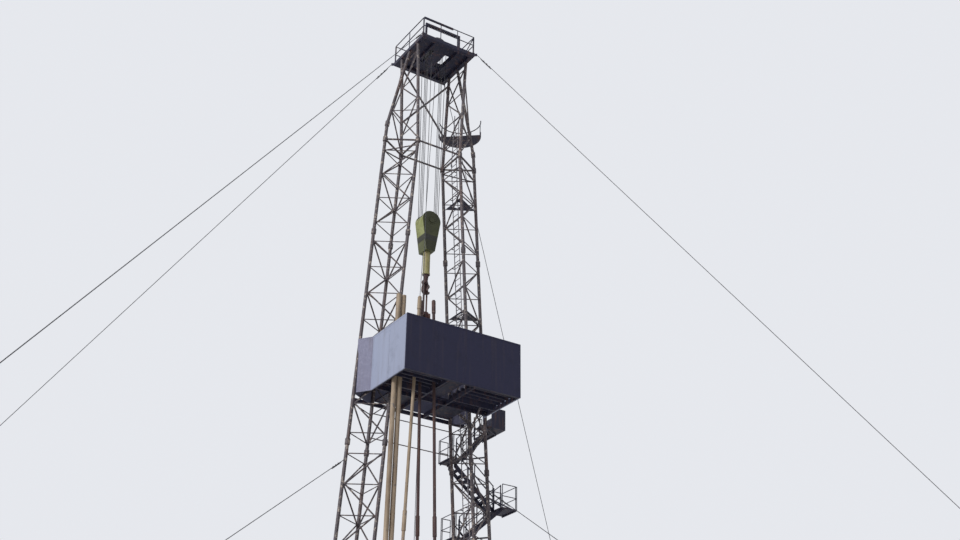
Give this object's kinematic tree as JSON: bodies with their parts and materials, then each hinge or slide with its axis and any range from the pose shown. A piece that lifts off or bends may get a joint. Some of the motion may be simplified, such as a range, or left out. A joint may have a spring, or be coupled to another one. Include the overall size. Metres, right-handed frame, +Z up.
{
  "type": "oil drilling rig, 1:2 scale model",
  "caption": "Guyed drilling mast of two lattice legs on a box substructure, with a walled racking board, zigzag stair, crown sheaves and a travelling block on a rope slide",
  "frame": {"origin": "on the ground at the well centre, which is the middle of the base of the whole object with its guy anchors", "axes": "+X from the left leg to the right leg, +Y from the racking side towards the drawworks, +Z up"},
  "size_m": [29.5, 21.9, 20.825],
  "materials": {
    "mast_steel": "weathered paint over steel tube, rubbed along the edges",
    "dark_steel": "dark navy paint, dull",
    "ladder_steel": "dull grey paint",
    "dark_sheet": "dark navy painted ribbed sheet",
    "pale_sheet": "pale weathered bare sheet",
    "grey_sheet": "mid grey sheet",
    "drill_pipe": "rusty mill steel with worn tool joints",
    "base_steel": "blue grey paint, worn",
    "floor_plate": "chequered steel plate, muddy brown",
    "rail_paint": "yellow paint, chipped",
    "machine_green": "dark green machine enamel",
    "wire_rope": "greased wire rope",
    "concrete": "plain cast concrete",
    "block_paint": "olive yellow paint",
    "sheave_steel": "dark cast steel, groove polished by rope",
    "hook_paint": "pale yellow paint, greasy",
    "link_steel": "dark forged steel",
    "elevator_paint": "dark red paint, worn"
  },
  "bodies": {
    "root": {"left_outer_chord": "mast_steel", "left_front_chord": "mast_steel", "left_back_chord": "mast_steel", "right_outer_chord": "mast_steel", "right_front_chord": "mast_steel", "right_back_chord": "mast_steel", "left_front_bracing": "mast_steel", "left_back_bracing": "mast_steel", "left_inner_bracing": "mast_steel", "right_front_bracing": "mast_steel", "right_back_bracing": "mast_steel", "right_inner_bracing": "mast_steel", "tie_frame": "mast_steel", "portal_bracing": "mast_steel", "leg_rest_plates": "dark_steel", "leg_ladder": "ladder_steel", "crown_platform": "dark_steel", "crown_railing": "dark_steel", "crown_block_frame": "dark_steel", "crown_sheaves": "sheave_steel", "crown_basket": "dark_steel", "board_beams": "dark_steel", "board_floor": "dark_steel", "racking_fingers": "dark_steel", "diving_board": "dark_steel", "front_wind_wall": "dark_sheet", "left_wind_wall": "pale_sheet", "right_wind_wall": "pale_sheet", "rear_wind_walls": "grey_sheet", "board_knee_braces": "mast_steel", "stair_landings": "dark_steel", "stair_stringers": "dark_steel", "stair_treads": "dark_steel", "stair_railings": "dark_steel", "pipe_stands": "drill_pipe", "left_substructure": "base_steel", "right_substructure": "base_steel", "cross_beams": "base_steel", "drill_floor": "floor_plate", "floor_railing": "rail_paint", "rotary_table": "machine_green", "drawworks": "machine_green", "fast_line": "wire_rope", "dead_line": "wire_rope", "crown_guys": "wire_rope", "lower_guys": "wire_rope", "guy_anchors": "concrete", "hoist_lines": "wire_rope"},
    "block": {"travelling_block": "block_paint", "block_sheaves": "sheave_steel", "hook": "hook_paint", "elevator_links": "link_steel", "elevator": "elevator_paint"}
  },
  "joints": [
    {"name": "block_slide", "type": "slide", "parent": "root", "child": "block", "axis": [0, 0, 1], "range_m": [-8.75, 3.5], "deforming": ["hoist_lines"]}
  ]
}
